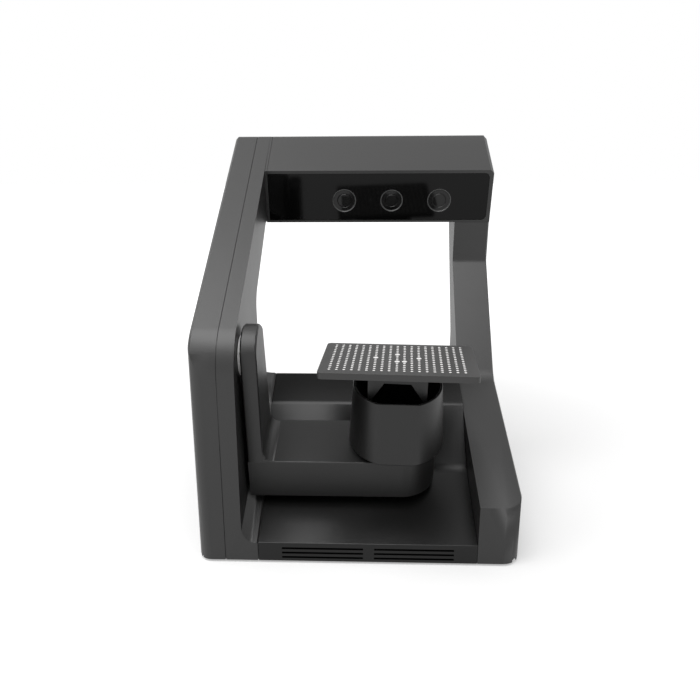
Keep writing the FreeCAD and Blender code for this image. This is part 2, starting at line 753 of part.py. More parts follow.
def camera_body(x):
    """Camera housing with its sensor board and plug."""
    body = box(x - 15, x + 15, 15.6, 36, LENS_DROP - 15, LENS_DROP + 15)
    body = body.makeChamfer(1.5, body.Edges)
    board = box(x - 17, x + 17, 36, 37.6, LENS_DROP - 17, LENS_DROP + 17)
    plug = box(x - 8, x + 8, 37.6, 42, LENS_DROP - 10, LENS_DROP - 5)
    return window_place(body.fuse(lens_seat(x, 15.9, 8.9)).fuse(board).fuse(plug))


def projector_body():
    """Projector block with cooling fins at the back."""
    x = LENS_XS[1]
    body = box(x - 19, x + 19, 15.8, 40, LENS_DROP - 16, LENS_DROP + 20)
    body = body.makeChamfer(1.5, body.Edges).fuse(lens_seat(x, 16.0, 8.4))
    for index in range(PROJECTOR_FINS):
        left = x - 17 + index * 33 / (PROJECTOR_FINS - 1)
        body = body.fuse(box(left, left + 1.2, 39, 50, LENS_DROP - 15, LENS_DROP + 19))
    return window_place(body)


# Pivot drive

def pivot_drive_plate():
    """Steel plate that holds the motor and the shaft's outer bearing."""
    plate = box(DRIVE_PLATE_X, DRIVE_PLATE_X + 3, -17, 22, -PIVOT_CENTRES - 26, 12)
    front = Vector(DRIVE_PLATE_X - 2, 0, 0)
    plate = plate.cut(faceted(BEARING_RADIUS, 10, front, RIGHTWARD))
    plate = plate.cut(faceted(8, 10, front - UPWARD * PIVOT_CENTRES, RIGHTWARD))
    reach = WALL_INNER_X - WALL - DRIVE_PLATE_X - 3
    for y in (-15, 18):
        foot = Vector(DRIVE_PLATE_X + 3, y, -PIVOT_CENTRES - 22)
        plate = plate.fuse(faceted(3, reach, foot, RIGHTWARD, 8))
    return arm_place(plate)


def pivot_bearings():
    """Two plain bearings: one in the drive plate, one in the wall."""
    rings = []
    for x, width in ((DRIVE_PLATE_X, 4.0), (WALL_INNER_X - 8, 8.0)):
        ring = faceted(BEARING_RADIUS, width, Vector(x, 0, 0), RIGHTWARD)
        rings.append(ring.cut(cylinder(SHAFT_RADIUS + RUNNING_FIT, width + 2,
                                       Vector(x - 1, 0, 0), RIGHTWARD)))
    return arm_place(Part.makeCompound(rings))


def pivot_motor():
    """Flat geared motor behind the drive plate."""
    rear = DRIVE_PLATE_X - MOTOR_LENGTH
    body = box(rear, DRIVE_PLATE_X, -MOTOR_HALF, MOTOR_HALF, -PIVOT_CENTRES - MOTOR_HALF,
               MOTOR_HALF - PIVOT_CENTRES)
    body = body.fuse(faceted(7.9, 2, Vector(DRIVE_PLATE_X, 0, -PIVOT_CENTRES), RIGHTWARD))
    bore = faceted(MOTOR_BORE, 30, Vector(rear - 1, 0, -PIVOT_CENTRES), RIGHTWARD, 12)
    return arm_place(body.cut(bore))


def pivot_pinion():
    """Motor pinion with its shaft, a tooth gap turned to the gear above."""
    teeth = spur_gear(PIVOT_PINION_TEETH, 6, 1.0, gap_phase(PIVOT_PINION_TEETH, math.pi))
    rear = DRIVE_PLATE_X - MOTOR_LENGTH + 1
    shaft = cylinder(2.0, GEAR_X + 6 - rear, Vector(rear, 0, 0), RIGHTWARD)
    pinion = along_x(teeth, GEAR_X).fuse(shaft)
    pinion.translate(Vector(0, 0, -PIVOT_CENTRES))
    return arm_place(pinion)


def pivot_gear():
    """Gear on the pivot shaft, with a tooth straight down at the pinion."""
    return arm_place(along_x(spur_gear(PIVOT_TEETH, 5, SHAFT_RADIUS * 1.03), GEAR_X + 0.5))


def pivot_shaft():
    rear = DRIVE_PLATE_X - 2
    return arm_place(cylinder(SHAFT_RADIUS, SLAB_X1 - 4 - rear, Vector(rear, 0, 0), RIGHTWARD))


def arm_collar():
    """Spacer ring on the shaft between the wall and the arm."""
    start = Vector(WALL_INNER_X + 0.4, 0, 0)
    ring = faceted(COLLAR_RADIUS, SLAB_X0 - start.x, start, RIGHTWARD, 32)
    bore = faceted(SHAFT_RADIUS + 0.3, 20, start - RIGHTWARD * 5, RIGHTWARD, 20)
    return arm_place(ring.cut(bore))


# Swing arm

def arm_section(grow, top):
    """The beam's end-on outline, drawn in by a distance."""
    outline = [(BEAM_FRONT, BEAM_BOTTOM), (BEAM_KNEE, BEAM_BOTTOM), (BEAM_BACK, BEAM_HEEL),
               (BEAM_BACK, top), (BEAM_FRONT, top)]
    face = polygon_face([Vector(0, y, z) for y, z in outline])
    if grow:
        face = inset(face, -grow)
    return face


def beam_plan(shrink, x0):
    """Plan of the beam: straight sides and a round end."""
    middle = (BEAM_BACK + BEAM_FRONT) / 2
    radius = (BEAM_BACK - BEAM_FRONT) / 2 - shrink
    low, high = middle - radius, middle + radius
    points = [Vector(x0, low, 0), Vector(BEAM_END_X, low, 0),
              Vector(BEAM_END_X + radius, middle, 0), Vector(BEAM_END_X, high, 0),
              Vector(x0, high, 0)]
    edges = [Part.LineSegment(points[0], points[1]).toShape(),
             Part.Arc(points[1], points[2], points[3]).toShape(),
             Part.LineSegment(points[3], points[4]).toShape(),
             Part.LineSegment(points[4], points[0]).toShape()]
    return Part.Face(Part.Wire(edges))


def slab_face(shrink):
    """End-on outline of the upright slab: a round hub and straight sides that spread to the
    beam below."""
    radius = SLAB_RADIUS - shrink
    low = Vector(0, BEAM_FRONT + shrink, BEAM_TOP - 10)
    spread = math.acos(radius / low.Length)
    lean = math.atan2(-low.z, -low.y) + spread
    touch = Vector(0, -radius * math.cos(math.pi - lean), radius * math.sin(math.pi - lean))
    other = Vector(0, -touch.y, touch.z)
    mirror = Vector(0, -low.y, low.z)
    edges = [Part.LineSegment(low, touch).toShape(),
             Part.Arc(touch, Vector(0, 0, radius), other).toShape(),
             Part.LineSegment(other, mirror).toShape(),
             Part.LineSegment(mirror, low).toShape()]
    return Part.Face(Part.Wire(edges))


def arm_body():
    """Outside of the swing arm: slab and beam with a hollow fillet between them."""
    slab = prism(slab_face(0), SLAB_X0, SLAB_X1)
    rims = picked(slab, lambda edge, middle: min(abs(middle.x - SLAB_X0),
                                                 abs(middle.x - SLAB_X1)) < 0.01
                  and middle.z > BEAM_TOP)
    slab = slab.makeChamfer(SLAB_EDGE, rims)
    beam = prism(arm_section(0, BEAM_TOP), SLAB_X0, SLAB_X0 + 200)
    plan = beam_plan(0, SLAB_X0)
    plan.translate(Vector(0, 0, -150))
    block = plan.extrude(Vector(0, 0, 150 + BEAM_TOP))
    upper = picked(block, lambda edge, middle: abs(middle.z - BEAM_TOP) < 0.01
                   and middle.x > SLAB_X0 + 1)
    beam = beam.common(block.makeChamfer(BEAM_EDGE, upper))
    return one_solid(slab.fuse(beam).fuse(inner_fillet()))


def inner_fillet():
    """Hollow strip where the slab meets the top of the beam, as long as the slab is deep."""
    x, z, reach = SLAB_X1, BEAM_TOP, ARM_FILLET
    y = BEAM_FRONT - 5
    turn = reach * (1 - math.sqrt(0.5))
    points = [Vector(x - 1, y, z - 1), Vector(x - 1, y, z + reach), Vector(x, y, z + reach),
              Vector(x + turn, y, z + turn), Vector(x + reach, y, z),
              Vector(x + reach, y, z - 1)]
    edges = [Part.LineSegment(points[0], points[1]).toShape(),
             Part.LineSegment(points[1], points[2]).toShape(),
             Part.Arc(points[2], points[3], points[4]).toShape(),
             Part.LineSegment(points[4], points[5]).toShape(),
             Part.LineSegment(points[5], points[0]).toShape()]
    strip = Part.Face(Part.Wire(edges)).extrude(Vector(0, -2 * y, 0))
    return strip.common(prism(slab_face(0), SLAB_X0, SLAB_X1 + reach + 1))


def arm_shell():
    """Swing arm moulding, open below, with seats for the shaft and the table bearing."""
    body = arm_body()
    room = beam_plan(ARM_WALL, SLAB_X0 + ARM_WALL)
    room.translate(Vector(0, 0, BEAM_BOTTOM - 5))
    body = body.cut(room.extrude(Vector(0, 0, BEAM_TOP - ARM_WALL - BEAM_BOTTOM + 5)))
    slab_room = prism(slab_face(ARM_WALL), SLAB_X0 + ARM_WALL, SLAB_X1 - ARM_WALL)
    start = Vector(SLAB_X0 - 5, 0, 0)
    body = body.cut(slab_room.cut(faceted(HUB_RADIUS, 40, start, RIGHTWARD)))
    body = body.cut(cylinder(SHAFT_RADIUS, SLAB_X1 - 4 - start.x, start, RIGHTWARD))
    boss = faceted(TABLE_BEARING_RADIUS + 2.5, 9, Vector(TABLE_X, 0, BEAM_TOP - 10))
    seat = faceted(TABLE_BEARING_RADIUS, 30, Vector(TABLE_X, 0, BEAM_TOP - 20))
    return arm_place(one_solid(body.fuse(boss).cut(seat)))


def arm_bottom_cover():
    """Plate that closes the beam from below, bent to its underside."""
    solid = prism(arm_section(0, BEAM_TOP), SLAB_X0, SLAB_X0 + 200)
    solid = solid.cut(prism(arm_section(-ARM_WALL, BEAM_TOP + 50), SLAB_X0 - 5, SLAB_X0 + 205))
    plan = beam_plan(ARM_WALL + 0.1, SLAB_X0 + ARM_WALL + 0.1)
    plan.translate(Vector(0, 0, -150))
    solid = solid.common(plan.extrude(Vector(0, 0, 100)))
    return arm_place(one_solid(solid.common(box(-200, 200, -60, 60, -150, BEAM_HEEL + 3))))


# Turntable drive

def table_bearing():
    ring = faceted(TABLE_BEARING_RADIUS, 9, Vector(TABLE_X, 0, BEAM_TOP - 10))
    bore = cylinder(TABLE_SHAFT + RUNNING_FIT, 12, Vector(TABLE_X, 0, BEAM_TOP - 12))
    return arm_place(ring.cut(bore))


def table_motor():
    """Small motor hung from the beam's top wall."""
    top = Vector(TABLE_X - TABLE_CENTRES, 0, BEAM_TOP - ARM_WALL)
    body = faceted(9.5, 10, top - UPWARD * 10, sides=20)
    return arm_place(body.cut(faceted(1.7, 8, top - UPWARD * 11, sides=12)))


def table_pinion():
    teeth = spur_gear(TABLE_PINION_TEETH, 6, 1.0, gap_phase(TABLE_PINION_TEETH, 0.0))
    pinion = teeth.fuse(cylinder(1.5, 11, ORIGIN))
    pinion.translate(Vector(TABLE_X - TABLE_CENTRES, 0, TABLE_GEAR_LOW - 0.5))
    return arm_place(pinion)


def table_gear():
    gear = spur_gear(TABLE_TEETH, 5, TABLE_SHAFT * 1.03, math.pi)
    gear.translate(Vector(TABLE_X, 0, TABLE_GEAR_LOW))
    return arm_place(gear)


def table_shaft():
    """Turntable spindle with the flange that carries the cup."""
    low = TABLE_GEAR_LOW - 0.5
    flange = CUP_BASE - 2.2
    shaft = cylinder(TABLE_SHAFT, flange - low, Vector(TABLE_X, 0, low))
    return arm_place(shaft.fuse(faceted(18, 2.2, Vector(TABLE_X, 0, flange), sides=24)))


# Cup, bracket and board

def cup_size(height):
    """The cup's radius and the distance of its flat, at a height along the turntable's axis."""
    share = (height - CUP_BASE) / (CUP_RIM - CUP_BASE)
    radius = CUP_BASE_RADIUS + share * (CUP_RIM_RADIUS - CUP_BASE_RADIUS)
    return radius, CUP_BASE_FLAT + share * (CUP_RIM_FLAT - CUP_BASE_FLAT)


def cup_block(low, low_inward, high, high_inward):
    """Round block with a flat front, drawn in by a distance at its foot and at its top."""
    low_radius, low_flat = cup_size(low)
    high_radius, high_flat = cup_size(high)
    block = tapered(low_radius - low_inward, high_radius - high_inward, high - low, CUP_SIDES)
    block.translate(Vector(TABLE_X, 0, low))
    reach = 100.0
    side = polygon_face([Vector(-reach, low_inward - low_flat, low),
                         Vector(-reach, high_inward - high_flat, high),
                         Vector(-reach, reach, high), Vector(-reach, reach, low)])
    return block.common(side.extrude(Vector(3 * reach, 0, 0)))


def object_cup():
    """Cup on the turntable: tapered wall with a flat front, floor and broken lower edge."""
    edge = cup_block(CUP_BASE, CUP_EDGE, CUP_BASE + CUP_EDGE, 0)
    wall = cup_block(CUP_BASE + CUP_EDGE, 0, CUP_RIM, 0)
    room = cup_block(CUP_BASE + CUP_FLOOR, CUP_WALL, CUP_RIM + 1, CUP_WALL)
    return table_place(one_solid(edge.fuse(wall).cut(room)), TABLE_TURN)


def bracket_plate(y):
    """Upright leg plate with its tapered window."""
    top = 12.0
    outline = [(-BRACKET_HALF, BRACKET_LOW), (-BRACKET_HALF, top), (BRACKET_HALF, top),
               (BRACKET_HALF, BRACKET_LOW)]
    solids = []
    for points in (outline, BRACKET_HOLE):
        face = polygon_face([Vector(TABLE_X + x, y, z) for x, z in points])
        solids.append(face.extrude(Vector(0, BRACKET_THICK, 0)))
    return solids[0].cut(solids[1])


def calibration_bracket():
    """Folded sheet bracket: two legs, a foot that stands in the cup and a flange on top."""
    reach = BRACKET_REACH
    legs = bracket_plate(-reach).fuse(bracket_plate(reach - BRACKET_THICK))
    foot = box(TABLE_X - BRACKET_HALF, TABLE_X + BRACKET_HALF, -reach, reach, BRACKET_LOW,
               BRACKET_LOW + BRACKET_THICK)
    stand = table_place(legs.fuse(foot), BOARD_TURN)
    under = -BOARD_SIZE[2] / 2
    above = board_place(box(-100, 100, -100, 100, under, 100))
    flange = board_place(box(-BRACKET_HALF, BRACKET_HALF, -BRACKET_FLANGE, BRACKET_FLANGE,
                             under - BRACKET_THICK, under))
    return one_solid(stand.cut(above).fuse(flange))


def calibration_board():
    """Flat board with rounded corners on its bracket."""
    wide, deep, thick = BOARD_SIZE
    return board_place(rounded_box(-wide / 2, wide / 2, -deep / 2, deep / 2, -thick / 2,
                                   thick / 2, BOARD_CORNER))


def build():
    for make in (base_plate, rubber_feet, base_tray, rear_panel, power_inlet, data_socket,
                 switch_frame, power_rocker, main_board, heat_sink, blower_housing,
                 blower_rotor, left_outer_shell, left_inner_shell, right_arm_shell,
                 head_front_cover, head_rear_cover, window_panel, lens_rings, optical_bench,
                 projector_body, pivot_drive_plate, pivot_bearings, pivot_motor, pivot_pinion,
                 pivot_gear, pivot_shaft, arm_collar, arm_shell, arm_bottom_cover,
                 table_bearing, table_motor, table_pinion, table_gear, table_shaft,
                 object_cup, calibration_bracket, calibration_board):
        parts[make.__name__] = make()
    for side, index in (("left", 0), ("right", 2)):
        parts["camera_body_" + side] = camera_body(LENS_XS[index])
        parts["camera_barrel_" + side] = lens_barrel(LENS_XS[index], RING_RADII[index])
        parts["camera_lens_" + side] = lens_glass(LENS_XS[index])
    parts["projector_barrel"] = lens_barrel(LENS_XS[1], RING_RADII[1])
    parts["projector_lens"] = lens_glass(LENS_XS[1])


build()
os.makedirs("parts", exist_ok=True)
for name, shape in parts.items():
    shape.exportStep("parts/" + name + ".step")
    print(name, round(shape.Volume), len(shape.Solids), shape.isValid())
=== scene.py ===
import json
import math

import bpy
from mathutils import Matrix, Vector

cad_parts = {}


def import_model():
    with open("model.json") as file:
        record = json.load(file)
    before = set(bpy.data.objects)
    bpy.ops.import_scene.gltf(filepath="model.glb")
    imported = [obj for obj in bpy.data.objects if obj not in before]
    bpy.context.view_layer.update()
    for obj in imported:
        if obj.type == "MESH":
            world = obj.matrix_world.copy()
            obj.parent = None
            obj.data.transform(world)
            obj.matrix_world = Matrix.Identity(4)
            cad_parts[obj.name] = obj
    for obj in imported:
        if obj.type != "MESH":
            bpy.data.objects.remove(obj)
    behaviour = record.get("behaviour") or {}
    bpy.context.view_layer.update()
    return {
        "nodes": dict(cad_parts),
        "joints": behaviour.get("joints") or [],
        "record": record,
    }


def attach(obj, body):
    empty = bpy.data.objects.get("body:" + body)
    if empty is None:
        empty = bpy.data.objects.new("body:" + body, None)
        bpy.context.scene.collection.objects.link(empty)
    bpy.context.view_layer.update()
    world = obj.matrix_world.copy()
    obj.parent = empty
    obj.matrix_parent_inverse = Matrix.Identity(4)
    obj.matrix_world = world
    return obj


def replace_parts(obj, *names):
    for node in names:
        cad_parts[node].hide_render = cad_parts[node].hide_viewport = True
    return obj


MM = 0.001

# The frame, and the places that the pieces made here are worked out from

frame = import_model()
nodes = frame["nodes"]
joints = {joint["name"]: joint for joint in frame["joints"]}
slots = {row["node"]: row["material_slot"] for row in frame["record"]["subparts"]}

PIVOT = Vector(joints["arm_tilt"]["pos_m"])
PIVOT_DEPTH = 32.0 * MM
FRONT = PIVOT.y - PIVOT_DEPTH
ARM_TILT = math.radians(14.0)
TABLE_X = 31.0 * MM

# Calibration board: place, turn, slope, thickness and dots
BOARD_DEPTH = 35.5 * MM
BOARD_HEIGHT = 160.2 * MM
BOARD_TURN = math.radians(-3.9)
BOARD_SLOPE = math.radians(1.7)
BOARD_FRAME = (Matrix.Translation((TABLE_X, FRONT + BOARD_DEPTH, BOARD_HEIGHT))
               @ Matrix.Rotation(BOARD_TURN, 4, "Z") @ Matrix.Rotation(BOARD_SLOPE, 4, "X"))
BOARD_THICK = 5.0 * MM
DOT_COLUMNS = 19
DOT_ROWS = 15
DOT_ACROSS = 5.68 * MM
DOT_ALONG = 4.41 * MM
DOT_SHIFT = -1.0 * MM
DOT_REAR = 32.4 * MM
DOT_RADIUS = 1.05 * MM
BIG_DOT_RADIUS = 2.05 * MM
BIG_DOTS = ((6, 7), (9, 5), (9, 9), (10, 9), (12, 7))
DOT_SIDES = 14
DOT_HEIGHT = 0.12 * MM

# Cup, about the turntable's axis: levels are (inward, height) in millimetres
CUP_TURN = math.radians(-2.0)
CUP_FRAME = (Matrix.Translation((TABLE_X, PIVOT.y, PIVOT.z)) @ Matrix.Rotation(ARM_TILT, 4, "X")
             @ Matrix.Rotation(CUP_TURN, 4, "Z"))
CUP_BASE = -80.4
CUP_RIM = -24.7
CUP_BASE_RADIUS = 39.3
CUP_RIM_RADIUS = 35.8
CUP_BASE_FLAT = 0.936
CUP_RIM_FLAT = 0.894
CUP_LEVELS = ((CUP_BASE_RADIUS, CUP_BASE), (1.2, CUP_BASE), (0.45, CUP_BASE + 0.5),
              (0, CUP_BASE + 1.2), (0, CUP_RIM - 0.5), (0.15, CUP_RIM - 0.15), (0.5, CUP_RIM),
              (1.5, CUP_RIM), (1.85, CUP_RIM - 0.15), (2, CUP_RIM - 0.5), (2, CUP_BASE + 5),
              (4, CUP_BASE + 3), (CUP_BASE_RADIUS, CUP_BASE + 3))
CUP_SIDES = 144

# Window and its ports: across and radius in millimetres; profiles are (outward, depth)
WINDOW_DEPTH = 211.6 * MM
WINDOW_HEIGHT = 277.95 * MM
WINDOW_TILT = math.radians(14.5)
WINDOW_FRAME = (Matrix.Translation((0, FRONT + WINDOW_DEPTH, WINDOW_HEIGHT))
                @ Matrix.Rotation(WINDOW_TILT, 4, "X"))
PORTS = ((-16.0, 11.4), (31.2, 10.8), (78.4, 11.4))
PORT_DROP = -4.2
PORT_SIDES = 72
BEZEL_PROFILE = ((0.35, 1.35), (0.35, 0.7), (-0.1, 0.6), (-0.5, 0.9), (-0.9, 1.8), (-0.9, 3.0),
                 (0.0, 3.0))
GLASS_PROFILE = ((-0.85, 1.6), (-4.2, 1.5), (-4.5, 1.8), (-4.9, 1.8), (-5.2, 1.5), (-20, 1.3),
                 (-20, 3.2), (-0.85, 3.2))

# Breaks up to these angles, in degrees, are shaded as roundings
SHELL_BREAK = 50
INNER_SHELL_BREAK = 35
CUP_BREAK = 16
PORT_BREAK = 35

# Points closer than these are merged, and faces that turn less are made one
SHELL_MERGE = 0.005 * MM
SPIN_MERGE = 0.002 * MM
FLAT_ANGLE = math.radians(0.5)

# Grains of the mouldings: spacing and depth of the pits in metres
SHELL_GRAIN = (0.0009, 0.00003)
CUP_GRAIN = (0.0007, 0.00002)
SHEET_GRAIN = (0.0005, 0.00001)
RUBBER_GRAIN = (0.0006, 0.00004)
ACETAL_GRAIN = (0.0012, 0.00001)
LAMINATE_GRAIN = (0.002, 0.00001)
BLOCK_GRAIN = (0.0008, 0.00002)
WARMTH = 0.01

# Floor and surroundings: the floor glows more with distance, up to white
FLOOR_SIZE = 16.0
FLOOR_TONE = 0.6
GLOW_NEAR = 0.38
GLOW_RISE = 0.9
SKY_DIRECT = 1.0
SKY_DIFFUSE = 0.35

# Camera: fitted to the photograph, in its pixels where the name says so
PICTURE_PIXELS = 700
FOCAL_PIXELS = 675.0
CENTRE_PIXELS = 334.1
SENSOR_WIDTH = 36.0
CAMERA_ACROSS = 0.26 * MM
CAMERA_DISTANCE = 477.34 * MM
CAMERA_HEIGHT = 316.11 * MM
CAMERA_YAW = math.radians(2.26)
CAMERA_PITCH = math.radians(15.94)
CAMERA_ROLL = math.radians(-0.31)


# Socket arithmetic: an expression on values adds its Math nodes

class Value:
    """One output in a node tree that carries a number or a colour."""

    def __init__(self, material, socket):
        self.material = material
        self.socket = socket

    def math(self, operation, first, second):
        return self.material.node("ShaderNodeMath", {"operation": operation}, first, second)

    def __add__(self, other):
        return self.math("ADD", self, other)

    def __radd__(self, other):
        return self.math("ADD", other, self)

    def __mul__(self, other):
        return self.math("MULTIPLY", self, other)

    def __rmul__(self, other):
        return self.math("MULTIPLY", other, self)

    def __gt__(self, other):
        return self.math("GREATER_THAN", self, other)


class Material:
    """A node material with one Principled shader."""

    def __init__(self, name, **constants):
        self.made = bpy.data.materials.new(name)
        self.made.use_nodes = True
        self.tree = self.made.node_tree
        self.shader = next(n for n in self.tree.nodes if n.type == "BSDF_PRINCIPLED")
        for socket, value in constants.items():
            self.shader.inputs[socket.replace("_", " ")].default_value = value

    def node(self, kind, settings=None, *values, output=0, **named):
        """Add a node: its settings first, then the values or links of its sockets."""
        added = self.tree.nodes.new(kind)
        for setting, value in (settings or {}).items():
            setattr(added, setting, value)
        for socket, value in list(enumerate(values)) + list(named.items()):
            place = socket if isinstance(socket, int) else socket.replace("_", " ")
            if isinstance(value, Value):
                self.tree.links.new(value.socket, added.inputs[place])
            elif value is not None:
                added.inputs[place].default_value = value
        return Value(self, added.outputs[output])

    def feed(self, **inputs):
        """Link values into the shader's own sockets."""
        for socket, value in inputs.items():
            self.tree.links.new(value.socket, self.shader.inputs[socket.replace("_", " ")])

    def place(self):
        """The point's own place on the object."""
        return self.node("ShaderNodeTexCoord", output=3)

    def noise(self, scale, detail=2.0, rough=0.5, at=None):
        return self.node("ShaderNodeTexNoise", {"noise_dimensions": "3D"},
                         Vector=at or self.place(), Scale=scale, Detail=detail, Roughness=rough)

    def pits(self, scale):
        """Fine pits, as a spark-eroded mould leaves them."""
        return self.node("ShaderNodeTexVoronoi", {"feature": "SMOOTH_F1"},
                         Vector=self.place(), Scale=scale, Smoothness=0.6)

    def bump(self, height, distance):
        return self.node("ShaderNodeBump", Height=height, Distance=distance, Strength=1.0)

    def blend(self, factor, first, second):
        """A colour between two by a factor; the node's unused sockets come before them."""
        unused = (None,) * 5
        return self.node("ShaderNodeMix", {"data_type": "RGBA"}, factor, *unused, first, second,
                         output=2)


def grey(level, warm=0.0):
    """A linear grey from an sRGB level of 0 to 255, a little warm where asked."""
    share = level / 255
    linear = share / 12.92 if share <= 0.04045 else ((share + 0.055) / 1.055) ** 2.4
    return (linear * (1 + warm), linear, linear * (1 - warm), 1.0)


# Finishes

def moulded(name, level, rough, grain, gloss=0.5):
    """Moulding with a fine spark-eroded grain and a faint uneven gloss."""
    spacing, depth = grain
    material = Material(name, Specular_IOR_Level=gloss)
    cloud = material.noise(18.0, 3.0)
    fleck = material.noise(1 / (spacing * 0.7), 2.0, 0.6)
    tone = cloud * 0.3 + fleck * 0.7
    colour = material.blend(tone, grey(level * 0.9, WARMTH), grey(level * 1.1, WARMTH))
    material.feed(Base_Color=colour, Roughness=rough - 0.05 + cloud * 0.06 + fleck * 0.05,
                  Normal=material.bump(material.pits(1 / spacing), depth))
    return material.made


def painted(name, level, rough):
    """Powder coat on sheet metal, with a slight orange peel."""
    material = Material(name, Specular_IOR_Level=0.45)
    peel = material.noise(900.0, 2.0)
    cloud = material.noise(25.0, 2.0)
    colour = material.blend(cloud, grey(level * 0.92), grey(level * 1.08))
    material.feed(Base_Color=colour, Roughness=rough - 0.05 + cloud * 0.1,
                  Normal=material.bump(peel, 0.00004))
    return material.made


def glossy(name, level, rough, gloss):
    """Dark polished sheet with a faint haze and a trace of dust."""
    material = Material(name, Specular_IOR_Level=gloss)
    haze = material.noise(40.0, 3.0)
    dust = material.noise(2200.0, 1.0) > 0.74
    colour = material.blend(haze + dust * 0.5, grey(level * 0.85), grey(level * 1.3))
    material.feed(Base_Color=colour, Roughness=rough + haze * 0.04)
    return material.made


def metal(name, colour, rough, stretch=(1.0, 1.0, 30.0)):
    """Metal with fine tool marks along one direction."""
    material = Material(name, Metallic=1.0)
    turned_place = material.node("ShaderNodeMapping", Vector=material.place(), Scale=stretch)
    marks = material.noise(300.0, 3.0, 0.6, turned_place)
    darker = tuple(channel * 0.85 for channel in colour[:3]) + (1.0,)
    material.feed(Base_Color=material.blend(marks, darker, colour),
                  Roughness=rough - 0.06 + marks * 0.12,
                  Normal=material.bump(marks, 0.00001))
    return material.made


FINISHES = {
    "body_plastic": moulded("charcoal_shell", level=26, rough=0.42, grain=SHELL_GRAIN, gloss=0.55),
    "tray_plastic": moulded("charcoal_tray", level=10, rough=0.3, grain=SHELL_GRAIN, gloss=0.3),
    "arm_plastic": moulded("charcoal_arm", level=26, rough=0.42, grain=SHELL_GRAIN, gloss=0.45),
    "cup_plastic": moulded("dark_cup", level=22, rough=0.36, grain=CUP_GRAIN, gloss=0.42),
    "sheet_metal": painted("black_powder_coat", level=24, rough=0.45),
    "board_face": moulded("board_laminate", level=48, rough=0.5, grain=SHEET_GRAIN),
    "window_glass": glossy("window_glass", level=8, rough=0.05, gloss=0.15),
    "lens_ring": glossy("lens_ring", level=62, rough=0.3, gloss=0.5),
    "lens_glass": glossy("lens_glass", level=14, rough=0.06, gloss=0.3),
    "black_metal": painted("black_anodised", level=30, rough=0.45),
    "rubber": moulded("foot_rubber", level=34, rough=0.8, grain=RUBBER_GRAIN),
    "steel": metal("brushed_steel", colour=(0.55, 0.55, 0.56, 1.0), rough=0.35),
    "bearing": metal("sintered_bronze", colour=(0.5, 0.36, 0.18, 1.0), rough=0.5,
                     stretch=(1.0, 1.0, 1.0)),
    "gear_plastic": moulded("acetal", level=215, rough=0.4, grain=ACETAL_GRAIN),
    "bench_metal": metal("machined_aluminium", colour=(0.7, 0.7, 0.71, 1.0), rough=0.35),
    "circuit": moulded("circuit_laminate", level=60, rough=0.45, grain=LAMINATE_GRAIN),
    "electronics": moulded("black_moulding", level=30, rough=0.5, grain=BLOCK_GRAIN),
}

for node, slot in slots.items():
    nodes[node].data.materials.clear()
    nodes[node].data.materials.append(FINISHES[slot])


# Tools for the pieces

def pick_only(piece):
    bpy.ops.object.select_all(action="DESELECT")
    piece.select_set(True)
    bpy.context.view_layer.objects.active = piece


def finish(piece, name, slot, body, paint=None):
    """Name a piece, put its place into its mesh, and give it its body and the material of its
    slot, or the paint given.
    """
    pick_only(piece)
    bpy.ops.object.transform_apply(location=True, rotation=True, scale=True)
    piece.name = name
    piece.data.materials.clear()
    piece.data.materials.append(paint or FINISHES[slot])
    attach(piece, body)


def smooth(piece, degrees):
    """Soft shading over small breaks, with the wide faces kept flat."""
    pick_only(piece)
    bpy.ops.object.shade_smooth_by_angle(angle=math.radians(degrees))
    modifier = piece.modifiers.new("flat_faces", "WEIGHTED_NORMAL")
    modifier.keep_sharp = True
    bpy.ops.object.modifier_apply(modifier=modifier.name)


def body_of(node):
    bodies = frame["record"]["behaviour"]["bodies"]
    return next(body for body, held in bodies.items() if node in held)


def soft_shell(node, degrees):
    """A node's shell with its triangles merged to faces and its small breaks shaded soft."""
    piece = nodes[node].copy()
    piece.data = nodes[node].data.copy()
    bpy.context.scene.collection.objects.link(piece)
    pick_only(piece)
    bpy.ops.object.mode_set(mode="EDIT")
    bpy.ops.mesh.select_all(action="SELECT")
    bpy.ops.mesh.remove_doubles(threshold=SHELL_MERGE)
    bpy.ops.mesh.dissolve_limited(angle_limit=FLAT_ANGLE)
    bpy.ops.object.mode_set(mode="OBJECT")
    smooth(piece, degrees)
    finish(piece, node + "_skin", slots[node], body_of(node))
    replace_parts(piece, node)


def turned(profile, sides, place):
    """A piece spun about its frame's Z from a closed outline of (radius, height) points."""
    bpy.ops.object.select_all(action="DESELECT")
    bpy.ops.mesh.primitive_circle_add(vertices=len(profile), fill_type="NOTHING")
    piece = bpy.context.object
    for corner, (radius, height) in zip(piece.data.vertices, profile):
        corner.co = (radius * MM, 0, height * MM)
    bpy.ops.object.mode_set(mode="EDIT")
    bpy.ops.mesh.select_all(action="SELECT")
    bpy.ops.mesh.spin(steps=sides, angle=2 * math.pi, center=(0, 0, 0), axis=(0, 0, 1))
    bpy.ops.mesh.select_all(action="SELECT")
    bpy.ops.mesh.remove_doubles(threshold=SPIN_MERGE)
    bpy.ops.mesh.delete_loose()
    bpy.ops.mesh.select_all(action="SELECT")
    bpy.ops.mesh.normals_make_consistent(inside=False)
    bpy.ops.object.mode_set(mode="OBJECT")
    piece.matrix_world = place
    return piece


def joined(pieces):
    bpy.ops.object.select_all(action="DESELECT")
    for piece in pieces:
        piece.select_set(True)
    bpy.context.view_layer.objects.active = pieces[0]
    bpy.ops.object.join()
    return bpy.context.object


# Shells of the housing and the arm

for shell in ("left_outer_shell", "right_arm_shell", "head_front_cover", "head_rear_cover",
              "base_tray", "arm_shell"):
    soft_shell(shell, SHELL_BREAK)
soft_shell("left_inner_shell", INNER_SHELL_BREAK)


# Cup

